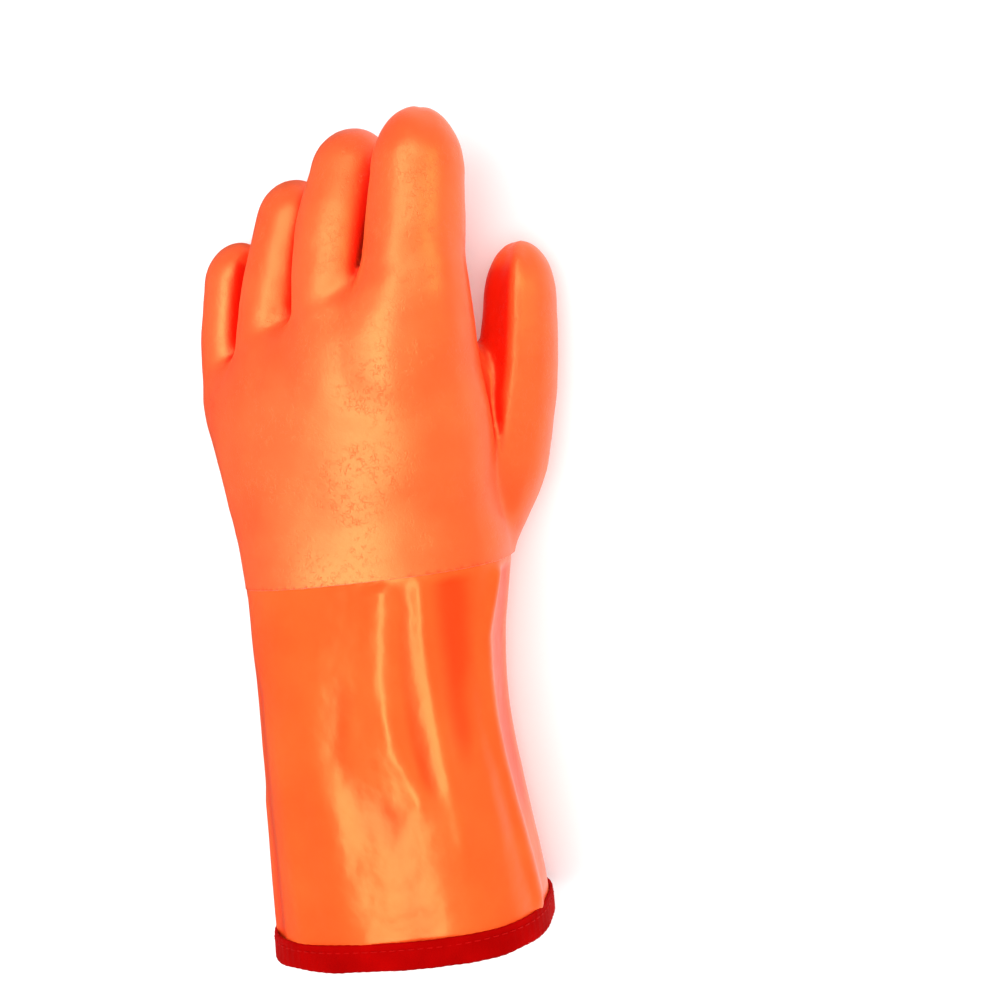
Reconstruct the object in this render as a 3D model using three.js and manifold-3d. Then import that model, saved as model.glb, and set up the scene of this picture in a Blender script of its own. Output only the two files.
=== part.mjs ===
// A gauntlet work glove for the left hand, dipped in PVC over a padded lining and filled out
// as if a hand were in it. It lies palm down: +Y runs from the cuff to the fingertips, +X is
// the thumb side and +Z is up. The sleeve lies flat on the surface, the hand turns its thumb
// side up, and the little finger and the thumb touch down beside it.
import * as THREE from 'three';
import { LoftGeometry } from 'three/addons/geometries/LoftGeometry.js';
import { mergeVertices } from 'three/addons/utils/BufferGeometryUtils.js';
import Module from 'manifold-3d';

const wasm = await Module();
wasm.setup();

// Lengths along the glove, in millimetres
const GAUNTLET_LENGTH = 136;     // rim to the edge of the second coat
const PALM_LENGTH = 98.5;        // edge of the second coat to the webs of the fingers
const FINGER_LENGTH = 94;        // middle finger, knuckle to tip
const THUMB_LENGTH = 114.5;      // wrist to tip

// Widths and depths over the outside of the filled glove
const CUFF_WIDTH = 102;
const CUFF_DEPTH = 77.5;
const PALM_WIDTH = 120.5;
const PALM_DEPTH = 57.5;
const FINGER_WIDTH = 32;
const THUMB_WIDTH = 32;

// Walls and trim
const WALL = 2.5;                // lining with the first coat
const SECOND_COAT = 0.5;         // the coat over the hand alone
const BINDING_WIDTH = 9;         // how far the tape reaches up the sleeve
const BINDING_THICKNESS = 1.2;
const CLEARANCE = 0.3;

// How finely the surfaces are stepped
const BODY_POINTS = 40;
const DIGIT_POINTS = 18;
const GAUNTLET_STEPS = 12;
const PALM_STEPS = 10;
const DIGIT_STEPS = 8;
const TIP_STEPS = 4;

// Sections of sleeve and palm. along: -1 at the rim, 0 at the edge of the second coat, 1 at
// the webs. hand: 0 takes the cuff's width and depth, 1 the palm's. side, width, depth and
// lift are shares of those; lift is how far the section stays above the surface, and what
// is below it is pressed flat. roll and skew are degrees, square is the power of the oval,
// and trim is 1 where the binding runs underneath.
const BODY = [
  { along: -1.000, hand: 0.00, side: 0.000, width: 1.000, depth: 0.980,
    lift: -0.020, roll: 0, skew: 0, square: 2.6, trim: 1 },
  { along: -0.920, hand: 0.00, side: 0.005, width: 0.990, depth: 0.980,
    lift: -0.020, roll: 0, skew: 0, square: 2.6, trim: 1 },
  { along: -0.835, hand: 0.00, side: 0.005, width: 0.977, depth: 1.000,
    lift: -0.020, roll: 0, skew: 0, square: 2.6, trim: 0 },
  { along: -0.647, hand: 0.00, side: 0.000, width: 0.942, depth: 0.986,
    lift: -0.020, roll: 0, skew: 0, square: 2.6, trim: 0 },
  { along: -0.412, hand: 0.00, side: -0.003, width: 0.906, depth: 0.966,
    lift: -0.020, roll: 0, skew: 0, square: 2.6, trim: 0 },
  { along: -0.208, hand: 0.15, side: 0.013, width: 0.897, depth: 0.962,
    lift: -0.014, roll: 2, skew: 0, square: 2.5, trim: 0 },
  { along: 0.000, hand: 0.50, side: 0.036, width: 0.912, depth: 0.984,
    lift: -0.010, roll: 6, skew: 0, square: 2.4, trim: 0 },
  { along: 0.190, hand: 0.80, side: 0.026, width: 0.890, depth: 1.003,
    lift: 0.000, roll: 12, skew: 2, square: 2.4, trim: 0 },
  { along: 0.405, hand: 1.00, side: 0.016, width: 0.920, depth: 1.019,
    lift: 0.004, roll: 18, skew: 5, square: 2.4, trim: 0 },
  { along: 0.622, hand: 1.00, side: 0.007, width: 0.962, depth: 0.963,
    lift: 0.006, roll: 22, skew: 8, square: 2.4, trim: 0 },
  { along: 0.795, hand: 1.00, side: 0.001, width: 1.000, depth: 0.889,
    lift: 0.015, roll: 24, skew: 11, square: 2.4, trim: 0 },
  { along: 0.925, hand: 1.00, side: 0.000, width: 0.985, depth: 0.740,
    lift: 0.055, roll: 25, skew: 13, square: 2.3, trim: 0 },
  { along: 1.000, hand: 1.00, side: 0.000, width: 0.920, depth: 0.500,
    lift: 0.150, roll: 25, skew: 14, square: 2.2, trim: 0 },
];

// The digits. along is the root's place in the table above; across and above are its place
// in the section there, as shares of that section's own basic width and depth. length and
// width are shares of the finger's or the thumb's, deeper is the depth as a share of the
// width, root and taper are the root's and the tip's shares of the width, and pointed is the
// tip's length in its own half depths. lean turns towards the thumb side and droop towards
// the surface, in degrees, each from the root to the tip, and roll turns the oval. The ball
// of the thumb is the last row.
const DIGITS = [
  { name: 'index', long: FINGER_LENGTH, wide: FINGER_WIDTH, along: 0.730, across: 0.294, above: 0.090,
    length: 0.990, width: 1.220, deeper: 1.03, root: 0.86, taper: 0.81, pointed: 1.5,
    lean: [14, 6], droop: [1, 12], roll: 25 },
  { name: 'middle', long: FINGER_LENGTH, wide: FINGER_WIDTH, along: 0.730, across: 0.094, above: 0.132,
    length: 1.005, width: 0.990, deeper: 1.10, root: 0.95, taper: 0.90, pointed: 1.25,
    lean: [-2, 20], droop: [3, 28], roll: 25 },
  { name: 'ring', long: FINGER_LENGTH, wide: FINGER_WIDTH, along: 0.643, across: -0.222, above: 0.133,
    length: 0.948, width: 0.920, deeper: 1.11, root: 0.95, taper: 0.90, pointed: 1.25,
    lean: [8, 18], droop: [2, 20], roll: 26 },
  { name: 'little', long: FINGER_LENGTH, wide: FINGER_WIDTH, along: 0.492, across: -0.402, above: -0.063,
    length: 0.883, width: 0.833, deeper: 1.10, root: 0.80, taper: 0.92, pointed: 1.25,
    lean: [-6, 17], droop: [2, 4], roll: 28 },
  { name: 'thumb', long: THUMB_LENGTH, wide: THUMB_WIDTH, along: 0.032, across: 0.340, above: -0.218,
    length: 1.000, width: 1.000, deeper: 1.03, root: 0.66, taper: 0.85, pointed: 1.6,
    lean: [23, 7.5], droop: [3, 4], roll: 10 },
  { name: 'ball', long: THUMB_LENGTH, wide: THUMB_WIDTH, along: 0.080, across: 0.255, above: -0.200,
    length: 0.640, width: 1.400, deeper: 0.72, root: 0.70, taper: 0.80, pointed: 1.2,
    lean: [20, 10], droop: [0, -2], roll: -45 },
];

// Soft folds pressed into the sleeve. along is as in the table of sections and around is the
// angle in the section, each from one end of the fold to the other; width is a share of the
// cuff's width, depth of its depth, and a depth below 0 stands out as a ridge.
const FOLDS = [
  { along: [-0.62, -0.02], around: [66, 68], width: 0.070, depth: 0.018 },
  { along: [-0.80, -0.02], around: [54, 61], width: 0.080, depth: -0.012 },
  { along: [-0.60, -0.02], around: [88, 79], width: 0.080, depth: -0.010 },
  { along: [-0.95, -0.05], around: [14, 21], width: 0.090, depth: -0.016 },
];

// The share of a digit over which it swells from its root to its full width.
const ROOT_SHARE = 0.3;

const radians = THREE.MathUtils.degToRad;
const mix = THREE.MathUtils.lerp;
const STACK = BINDING_THICKNESS + CLEARANCE;

// A number of a table's rows at any place along them, through the rows in a smooth curve.
function smoothly(rows, key, along) {
  const last = rows.length - 1;
  const found = rows.findIndex((row) => row.along > along);
  const next = THREE.MathUtils.clamp(found < 0 ? last : found, 1, last);
  const slope = (i) => {
    const before = rows[Math.max(i - 1, 0)];
    const after = rows[Math.min(i + 1, last)];
    return (after[key] - before[key]) / (after.along - before.along);
  };
  const from = rows[next - 1];
  const to = rows[next];
  const run = to.along - from.along;
  const t = THREE.MathUtils.clamp((along - from.along) / run, 0, 1);
  const rise = to[key] - from[key];
  const bend = (slope(next - 1) * run - rise) * (1 - t) + (rise - slope(next) * run) * t;
  return from[key] + rise * t + bend * t * (1 - t);
}

// The oval's two coordinates at an angle, each from -1 to 1.
function oval(angle, square) {
  const power = 2 / square;
  const c = Math.cos(angle);
  const s = Math.sin(angle);
  return [Math.sign(c) * Math.abs(c) ** power, Math.sign(s) * Math.abs(s) ** power];
}

// Angles that wind clockwise seen from the cuff's end, so that lofts towards +Y face outwards.
function angles(count) {
  return Array.from({ length: count }, (_, i) => -2 * Math.PI * i / count);
}

// Everything about the body's section at a place along it: sizes, centre and turn.
function bodySection(along) {
  const at = (key) => smoothly(BODY, key, along);
  const wide = mix(CUFF_WIDTH, PALM_WIDTH, at('hand'));
  const deep = mix(CUFF_DEPTH, PALM_DEPTH, at('hand'));
  const width = wide * at('width');
  const depth = deep * at('depth');
  const roll = radians(at('roll'));
  const square = at('square');
  const trim = STACK * at('trim');
  const reach = angles(BODY_POINTS).map((angle) => {
    const [u, v] = oval(angle, square);
    return u * width / 2 * Math.sin(roll) + v * depth / 2 * Math.cos(roll);
  });
  const y = along * (along < 0 ? GAUNTLET_LENGTH : PALM_LENGTH);
  const z = deep * at('lift') + trim - Math.min(...reach);
  return { along, wide, deep, width, depth, roll, square, trim, skew: Math.tan(radians(at('skew'))),
    centre: new THREE.Vector3(wide * at('side'), y, z) };
}

// How far the folds press the surface in, at a section and an angle in degrees.
function foldDepth(section, degrees) {
  let inward = 0;
  for (const fold of FOLDS) {
    const [start, end] = fold.along;
    const t = (section.along - start) / (end - start);
    const middle = mix(fold.around[0], fold.around[1], THREE.MathUtils.clamp(t, 0, 1));
    const across = radians(degrees - middle) * section.width / 2 / (fold.width * CUFF_WIDTH);
    const past = Math.max(0, -t, t - 1) * (end - start) * GAUNTLET_LENGTH / (fold.width * CUFF_WIDTH);
    inward += fold.depth * CUFF_DEPTH * Math.exp(-(across ** 2) - past ** 2);
  }
  return inward;
}

// The ring of points at a section, grown outwards, moved along Y and pressed flat below.
function bodyRing(section, grow = 0, shift = 0) {
  const { centre, width, depth, roll, square, skew, trim } = section;
  const lowest = Math.max(0, trim - grow);
  return angles(BODY_POINTS).map((angle) => {
    const [c, s] = oval(angle, square);
    const degrees = THREE.MathUtils.euclideanModulo(THREE.MathUtils.radToDeg(angle), 360);
    const out = grow - foldDepth(section, degrees);
    const u = c * (width / 2 + out);
    const v = s * (depth / 2 + out);
    return new THREE.Vector3(
      centre.x + u * Math.cos(roll) - v * Math.sin(roll),
      centre.y + u * skew + shift,
      Math.max(lowest, centre.z + u * Math.sin(roll) + v * Math.cos(roll)),
    );
  });
}

function steps(from, to, count) {
  return Array.from({ length: count + 1 }, (_, i) => mix(from, to, i / count));
}

// A shape's corners and triangles alone, with corners in the same place made one.
function merged(shape) {
  const geometry = new THREE.BufferGeometry();
  geometry.setAttribute('position', shape.attributes.position);
  geometry.setIndex(shape.index);
  return mergeVertices(geometry);
}

// A loft through rings of points, with its ends closed or joined back to its start.
function loft(rings, ends = true) {
  const sections = ends ? rings : [...rings, rings[0]];
  return merged(new LoftGeometry(sections, { capStart: ends, capEnd: ends }));
}

function solid(geometry) {
  const vertProperties = new Float32Array(geometry.attributes.position.array);
  const triVerts = new Uint32Array(geometry.index.array);
  return new wasm.Manifold(new wasm.Mesh({ numProp: 3, vertProperties, triVerts }));
}

function geometryOf(manifold) {
  const { vertProperties, triVerts } = manifold.getMesh();
  const geometry = new THREE.BufferGeometry();
  geometry.setAttribute('position', new THREE.BufferAttribute(vertProperties, 3));
  geometry.setIndex(new THREE.BufferAttribute(triVerts, 1));
  geometry.computeVertexNormals();
  return geometry;
}

// The palm as a closed loft: its outer surface, or its hollow when shrunk by the wall.
function palmLoft(start, end, grow) {
  return loft(steps(start, end, PALM_STEPS).map((along) => bodyRing(bodySection(along), grow)));
}

// The middle line of a digit: points and directions, its lean and droop easing to the tip's.
function digitLine(digit, stations) {
  const root = bodySection(digit.along);
  const across = digit.across * root.wide;
  const above = digit.above * root.deep;
  const point = root.centre.clone().add(new THREE.Vector3(
    across * Math.cos(root.roll) - above * Math.sin(root.roll),
    0,
    across * Math.sin(root.roll) + above * Math.cos(root.roll),
  ));
  const heading = (t) => {
    const ease = THREE.MathUtils.smoothstep(t, 0, 1);
    const lean = radians(mix(digit.lean[0], digit.lean[1], ease));
    const droop = radians(mix(digit.droop[0], digit.droop[1], ease));
    return new THREE.Vector3(
      Math.sin(lean) * Math.cos(droop),
      Math.cos(lean) * Math.cos(droop),
      -Math.sin(droop),
    );
  };
  const length = digit.long * digit.length;
  let before = 0;
  return stations.map((t) => {
    point.addScaledVector(heading((before + t) / 2), (t - before) * length);
    before = t;
    return { point: point.clone(), heading: heading(t) };
  });
}

// A digit as a closed loft: a tapering oval tube and a rounded tip, shrunk by a wall.
function digitLoft(digit, shrink) {
  const length = digit.long * digit.length;
  const width = digit.wide * digit.width;
  const depth = width * digit.deeper;
  const tip = depth / 2 * digit.taper * digit.pointed - shrink;
  const shoulder = 1 - (tip + shrink) / length;
  const turns = steps(0, Math.PI / 2, TIP_STEPS).slice(1);
  const stations = [
    -(depth / 2 - shrink) / 2 / length,
    ...steps(0, shoulder, DIGIT_STEPS),
    ...turns.map((turn) => shoulder + tip / length * Math.sin(turn)),
  ];
  const closing = [
    0.6,
    ...steps(1, 1, DIGIT_STEPS),
    ...turns.map((turn) => Math.max(Math.cos(turn), 0.02)),
  ];
  const line = digitLine(digit, stations);
  const rings = line.map(({ point, heading }, i) => {
    const roll = radians(digit.roll);
    const across = heading.clone().cross(new THREE.Vector3(-Math.sin(roll), 0, Math.cos(roll))).normalize();
    const up = across.clone().cross(heading);
    const swell = mix(digit.root, 1, THREE.MathUtils.smoothstep(stations[i], 0, ROOT_SHARE));
    const taper = swell * mix(1, digit.taper, THREE.MathUtils.clamp(stations[i] / shoulder, 0, 1));
    return angles(DIGIT_POINTS).map((angle) => {
      const [u, v] = oval(angle, 2.2);
      const corner = point.clone();
      corner.addScaledVector(across, u * (width / 2 * taper - shrink) * closing[i]);
      corner.addScaledVector(up, v * (depth / 2 * taper - shrink) * closing[i]);
      corner.z = Math.max(corner.z, shrink);
      return corner;
    });
  });
  return loft(rings);
}

// The hand: palm, fingers and thumb joined into one skin, hollow and open at the wrist.
function handGeometry() {
  const wall = WALL + SECOND_COAT;
  const start = CLEARANCE / PALM_LENGTH;
  const mouth = -WALL / GAUNTLET_LENGTH;
  const inset = wall / PALM_LENGTH;
  const outside = [palmLoft(start, 1, SECOND_COAT), ...DIGITS.map((digit) => digitLoft(digit, 0))];
  const inside = [palmLoft(mouth, 1 - inset, -WALL), ...DIGITS.map((digit) => digitLoft(digit, wall))];
  const join = (lofts) => lofts.map(solid).reduce((all, next) => all.add(next));
  const sleeveSide = new THREE.BoxGeometry(2 * PALM_WIDTH, PALM_LENGTH, 2 * PALM_WIDTH);
  sleeveSide.translate(0, CLEARANCE - PALM_LENGTH / 2, 0);
  const skin = join(outside).subtract(solid(merged(sleeveSide)));
  return geometryOf(skin.subtract(join(inside)));
}

// The gauntlet: a sleeve with its outer and inner surfaces joined at both ends.
function gauntletGeometry() {
  const sections = steps(-1, 0, GAUNTLET_STEPS).map(bodySection);
  const outer = sections.map((section) => bodyRing(section));
  const inner = sections.map((section) => bodyRing(section, -WALL)).reverse();
  return loft([...outer, ...inner], false);
}

// The binding: a tape folded over the rim, clear of the sleeve on both faces. Its profile
// runs up the outside of the tape, round the fold and up the inside, and back along the rim.
function bindingGeometry() {
  const rim = bodySection(-1);
  const edge = bodySection(BINDING_WIDTH / GAUNTLET_LENGTH - 1);
  const fold = (out, bulge) => [0, 0.5, 1].map((part) => {
    const middle = -WALL / 2;
    const half = WALL / 2 + out;
    const turn = Math.PI * part;
    return bodyRing(rim, middle + half * Math.cos(turn), -bulge * Math.sin(turn));
  });
  return loft([
    bodyRing(edge, STACK),
    ...fold(STACK, STACK),
    bodyRing(edge, -WALL - STACK),
    bodyRing(edge, -WALL - CLEARANCE),
    ...fold(CLEARANCE, CLEARANCE).reverse(),
    bodyRing(edge, CLEARANCE),
  ].reverse(), false);
}

const group = new THREE.Group();

function addPart(name, geometry, finish) {
  const mesh = new THREE.Mesh(geometry, new THREE.MeshStandardMaterial(finish));
  mesh.name = name;
  group.add(mesh);
}

addPart('hand', handGeometry(), { color: 0xff7438, roughness: 0.55, metalness: 0 });
addPart('gauntlet', gauntletGeometry(), { color: 0xff6a30, roughness: 0.38, metalness: 0 });
addPart('edge_binding', bindingGeometry(), { color: 0xc80c0c, roughness: 0.85, metalness: 0 });

// The origin is the middle of the glove's footprint, on the surface it lies on.
const extent = new THREE.Box3().setFromObject(group, true);
const middle = extent.getCenter(new THREE.Vector3());
group.position.set(-middle.x, -middle.y, -extent.min.z);

export default group;
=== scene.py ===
import math

import bpy
import numpy as np
from mathutils import Matrix, Vector


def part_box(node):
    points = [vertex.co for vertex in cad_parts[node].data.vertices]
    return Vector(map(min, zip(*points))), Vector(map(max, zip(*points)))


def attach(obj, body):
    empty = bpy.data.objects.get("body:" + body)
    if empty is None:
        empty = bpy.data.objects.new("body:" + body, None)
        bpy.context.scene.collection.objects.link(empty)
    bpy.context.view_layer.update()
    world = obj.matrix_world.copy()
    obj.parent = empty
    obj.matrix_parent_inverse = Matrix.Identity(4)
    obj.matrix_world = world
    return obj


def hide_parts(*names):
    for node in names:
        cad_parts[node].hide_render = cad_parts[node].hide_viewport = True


# A padded work glove for the left hand, dipped in PVC: a matt coated hand, a glossy sleeve
# and a red tape over the rim. It lies palm down, +Y to the fingertips and +X to the thumb.
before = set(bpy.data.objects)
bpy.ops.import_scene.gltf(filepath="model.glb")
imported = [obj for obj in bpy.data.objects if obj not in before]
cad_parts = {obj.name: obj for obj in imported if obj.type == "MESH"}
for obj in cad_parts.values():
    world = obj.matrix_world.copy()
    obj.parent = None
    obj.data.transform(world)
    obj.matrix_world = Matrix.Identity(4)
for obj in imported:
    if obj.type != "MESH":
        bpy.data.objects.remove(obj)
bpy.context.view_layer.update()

MM = 0.001

# The glove's named sizes in millimetres, as in its solids
GAUNTLET_LENGTH = 136.0
PALM_LENGTH = 98.5
FINGER_LENGTH = 94.0
THUMB_LENGTH = 114.5
CUFF_WIDTH = 102.0
CUFF_DEPTH = 77.5
PALM_WIDTH = 120.5
PALM_DEPTH = 57.5
FINGER_WIDTH = 32.0
THUMB_WIDTH = 32.0
WALL = 2.5
SECOND_COAT = 0.5
BINDING_WIDTH = 9.0
BINDING_THICKNESS = 1.2
CLEARANCE = 0.3
STACK = BINDING_THICKNESS + CLEARANCE

# The share of a digit over which it swells from its root, the length of its rounded root
# end in half depths, and the power of its sections
ROOT_SHARE = 0.3
ROOT_ROUND = 0.8
DIGIT_SQUARE = 2.2

# How far the palm rounds off past the webs, and the glove where it rests on the surface
WEB_ROUND = 10.0
REST_ROUND = 1.5

# The second coat stands this proud at its edge and comes to its whole thickness over its
# run; the sleeve beside it is tucked in over its last millimetres, so that the edge shows
COAT_LIP = 0.2
COAT_RUN = 9.0
TUCK = 0.12
TUCK_RUN = 2.0

# The sleeve's folds and waves fade out this near to the coat's edge, the hand's waves this
# near to it, and the waves of both this near to the surface
EDGE_FADE = 5.0
HAND_FADE = 8.0
REST_FADE = 6.0

# The stitches: their length, the gap between them, their radius and how far from the rim
STITCH_LENGTH = 2.6
STITCH_GAP = 0.8
STITCH_RADIUS = 0.24
STITCH_INSET = 6.6

# The edge of the second coat in the frame, and the middle of the sleeve's line across it
COAT_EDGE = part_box("hand")[0].y / MM - CLEARANCE
MIDDLE_X = -11.11

# Sections of sleeve and palm, from the rim to the webs. lift, side, width and depth are
# shares of the section's own width or depth; roll and skew are degrees.
BODY_COLUMNS = ("along", "hand", "side", "width", "depth", "lift", "roll", "skew", "square", "trim")
BODY_ROWS = np.array([
    (-1.000, 0.00, 0.000, 1.000, 0.980, -0.020, 0, 0, 2.6, 1),
    (-0.920, 0.00, 0.005, 0.990, 0.980, -0.020, 0, 0, 2.6, 1),
    (-0.835, 0.00, 0.005, 0.977, 1.000, -0.020, 0, 0, 2.6, 0),
    (-0.647, 0.00, 0.000, 0.942, 0.986, -0.020, 0, 0, 2.6, 0),
    (-0.412, 0.00, -0.003, 0.906, 0.966, -0.020, 0, 0, 2.6, 0),
    (-0.208, 0.15, 0.013, 0.897, 0.962, -0.014, 2, 0, 2.5, 0),
    (0.000, 0.50, 0.036, 0.912, 0.984, -0.010, 6, 0, 2.4, 0),
    (0.190, 0.80, 0.026, 0.890, 1.003, 0.000, 12, 2, 2.4, 0),
    (0.405, 1.00, 0.016, 0.920, 1.019, 0.004, 18, 5, 2.4, 0),
    (0.622, 1.00, 0.007, 0.962, 0.963, 0.006, 22, 8, 2.4, 0),
    (0.795, 1.00, 0.001, 1.000, 0.889, 0.015, 24, 11, 2.4, 0),
    (0.925, 1.00, 0.000, 0.985, 0.740, 0.055, 25, 13, 2.3, 0),
    (1.000, 1.00, 0.000, 0.920, 0.500, 0.150, 25, 14, 2.2, 0),
])
BODY = dict(zip(BODY_COLUMNS, BODY_ROWS.T))

# The digits, with the ball of the thumb last. blend is how softly each runs into the palm.
# A ridge has its angle in the section, half width, height (below 0 a hollow) and its run;
# a shade, a painted shade in deep red where a crease lies in shadow, two angles and its run.
DIGITS = [
    dict(name="index", long=FINGER_LENGTH, wide=FINGER_WIDTH, along=0.730, across=0.294, above=0.090,
         length=0.990, width=1.220, deeper=1.03, root=0.86, taper=0.81, pointed=1.5,
         lean=(14, 6), droop=(1, 12), roll=25, blend=7, ridges=((38, 9.0, -1.0, 0.10, 0.88),)),
    dict(name="middle", long=FINGER_LENGTH, wide=FINGER_WIDTH, along=0.730, across=0.094, above=0.132,
         length=1.005, width=0.990, deeper=1.10, root=0.95, taper=0.90, pointed=1.25,
         lean=(-2, 20), droop=(3, 28), roll=25, blend=7),
    dict(name="ring", long=FINGER_LENGTH, wide=FINGER_WIDTH, along=0.643, across=-0.219, above=0.133,
         length=0.948, width=0.890, deeper=1.11, root=0.95, taper=0.90, pointed=1.25,
         lean=(8, 18), droop=(2, 20), roll=26, blend=7),
    dict(name="little", long=FINGER_LENGTH, wide=FINGER_WIDTH, along=0.492, across=-0.410, above=-0.063,
         length=0.883, width=0.845, deeper=1.10, root=0.92, taper=0.92, pointed=1.25,
         lean=(-6, 17), droop=(2, 4), roll=28, blend=6,
         ridges=((30, 3.8, -2.6, 0.24, 0.88),), shades=((-60, 56, 0.12, 0.93),)),
    dict(name="thumb", long=THUMB_LENGTH, wide=THUMB_WIDTH, along=0.032, across=0.332, above=-0.218,
         length=1.004, width=1.090, deeper=1.03, root=0.66, taper=0.78, pointed=1.7,
         lean=(23, 5.5), droop=(3, 4), roll=10, blend=4,
         ridges=((74, 4.5, 1.6, 0.24, 0.92), (116, 8.0, -2.4, 0.18, 0.88)),
         shades=((86, 230, 0.10, 0.95),)),
    dict(name="ball", long=THUMB_LENGTH, wide=THUMB_WIDTH, along=0.080, across=0.215, above=-0.200,
         length=0.640, width=1.400, deeper=0.72, root=0.70, taper=0.80, pointed=1.2,
         lean=(20, 10), droop=(0, -2), roll=-45, blend=7),
]

# Folds of the sleeve's skin. Each runs through places (along, degrees round the section);
# wide is its half width and high its height, in millimetres, below 0 where it sinks in.
FOLDS = [
    dict(run=((-0.01, 77), (-0.30, 81.5), (-0.44, 85)), wide=7.5, high=1.3),
    dict(run=((-0.36, 80), (-0.45, 78), (-0.56, 72)), wide=4.0, high=1.0),
    dict(run=((-0.03, 69), (-0.26, 71), (-0.50, 66)), wide=6.5, high=-1.1),
    dict(run=((-0.30, 92), (-0.44, 95), (-0.62, 88)), wide=6.0, high=-1.0),
    dict(run=((-0.02, 62), (-0.38, 57), (-0.68, 55)), wide=3.6, high=0.75),
    dict(run=((-0.06, 44), (-0.22, 41), (-0.40, 39)), wide=9.5, high=-1.6),
    dict(run=((-0.34, 36), (-0.50, 34), (-0.66, 32)), wide=6.0, high=0.9),
    dict(run=((-0.01, 12), (-0.19, 21), (-0.50, 17), (-0.90, 11)), wide=5.0, high=2.0),
    dict(run=((-0.05, 0), (-0.30, 2), (-0.60, 0)), wide=9.0, high=-1.6),
    dict(run=((-0.56, 104), (-0.74, 101), (-0.92, 99)), wide=9.0, high=0.7),
    dict(run=((-0.56, 78), (-0.76, 80), (-0.90, 82)), wide=9.0, high=-0.6),
    dict(run=((-0.50, 128), (-0.80, 127), (-0.95, 126)), wide=7.0, high=0.8),
    dict(run=((-0.30, 150), (-0.60, 152), (-0.92, 150)), wide=8.0, high=-1.0),
    dict(run=((-0.60, 168), (-0.85, 166), (-0.97, 165)), wide=4.5, high=1.0),
]


def through(column, along):
    """A column of the table of sections at any places along it: a cubic between each pair
    of rows, with the slope at a row that of the line through its two neighbours."""
    x, y = BODY["along"], BODY[column]
    last = len(x) - 1
    before = np.maximum(np.arange(last + 1) - 1, 0)
    after = np.minimum(np.arange(last + 1) + 1, last)
    slope = (y[after] - y[before]) / (x[after] - x[before])
    i = np.clip(np.searchsorted(x, along, side="right"), 1, last)
    run = x[i] - x[i - 1]
    rise = y[i] - y[i - 1]
    t = np.clip((along - x[i - 1]) / run, 0, 1)
    bend = (slope[i - 1] * run - rise) * (1 - t) + (rise - slope[i] * run) * t
    return y[i - 1] + rise * t + bend * t * (1 - t)


def oval(angle, square):
    """An oval's two coordinates at an angle: cosine and sine, each to the power 2/square."""
    c, s = np.cos(angle), np.sin(angle)
    return np.sign(c) * np.abs(c) ** (2 / square), np.sign(s) * np.abs(s) ** (2 / square)


def body_section(along):
    """The section at places along the body: half width, half depth, turn, slant and centre.
    Its centre stands so high that the turned oval's lowest point has the table's lift."""
    along = np.atleast_1d(np.asarray(along, float))
    hand = through("hand", along)
    wide = CUFF_WIDTH + (PALM_WIDTH - CUFF_WIDTH) * hand
    deep = CUFF_DEPTH + (PALM_DEPTH - CUFF_DEPTH) * hand
    a = wide * through("width", along) / 2
    b = deep * through("depth", along) / 2
    roll = np.radians(through("roll", along))
    square = through("square", along)
    trim = STACK * through("trim", along)
    turn = np.linspace(0, 2 * math.pi, 40, endpoint=False)[:, None]
    c, s = oval(turn, square)
    lowest = (c * a * np.sin(roll) + s * b * np.cos(roll)).min(0)
    return dict(
        along=along, wide=wide, deep=deep, a=a, b=b, roll=roll, square=square, trim=trim,
        skew=np.tan(np.radians(through("skew", along))),
        x=MIDDLE_X + wide * through("side", along),
        y=COAT_EDGE + along * np.where(along < 0, GAUNTLET_LENGTH, PALM_LENGTH),
        z=deep * through("lift", along) + trim - lowest,
    )


def smooth_step(t):
    t = np.clip(t, 0, 1)
    return t * t * (3 - 2 * t)


def mix(a, b, t):
    return a + (b - a) * t


def soft_min(a, b, k):
    """The lower of two distances, rounded over k millimetres where they are alike."""
    h = np.clip(0.5 + 0.5 * (b - a) / k, 0, 1)
    return mix(b, a, h) - k * h * (1 - h)


def waves(points, length, seed, count=14):
    """A soft random height from -1 to 1: the mean of sine waves in random directions, with
    wavelengths from 0.7 to 1.5 of the given length in millimetres."""
    rng = np.random.default_rng(seed)
    direction = rng.normal(size=(count, 3))
    direction /= np.linalg.norm(direction, axis=1)[:, None]
    number = 2 * math.pi / (length * rng.uniform(0.7, 1.5, count))
    phase = rng.uniform(0, 2 * math.pi, count)
    return np.sin(points @ (direction * number[:, None]).T + phase).sum(1) / math.sqrt(count) / 1.4


def palm_distance(x, y, z):
    """How far points lie outside the palm's skin. In a section's own turned axes u and v,
    the power mean of u/a and v/b is 1 on the skin; less 1, over its slope, is a distance.
    Past the webs the distance to the last section counts too, rounded over WEB_ROUND."""
    table = body_section(np.linspace(-0.15, 1, 700))
    along = (y - COAT_EDGE) / PALM_LENGTH

    def at(key):
        return np.interp(along, table["along"], table[key])

    for _ in range(5):
        roll = at("roll")
        dx, dz = x - at("x"), z - at("z")
        u = dx * np.cos(roll) + dz * np.sin(roll)
        v = dz * np.cos(roll) - dx * np.sin(roll)
        level = y - u * at("skew") - COAT_EDGE
        along = level / np.where(level < 0, GAUNTLET_LENGTH, PALM_LENGTH)
    proud = mix(COAT_LIP, SECOND_COAT, smooth_step((y - COAT_EDGE) / COAT_RUN))
    a, b, n = at("a") + proud, at("b") + proud, at("square")
    su, sv = np.abs(u) / a + 1e-4, np.abs(v) / b + 1e-4
    mean = (su ** n + sv ** n) ** (1 / n)
    slope = np.hypot((su / mean) ** (n - 1) / a, (sv / mean) ** (n - 1) / b)
    side = (mean - 1) / slope
    return -soft_min(-side, -(level - PALM_LENGTH), WEB_ROUND)


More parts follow.
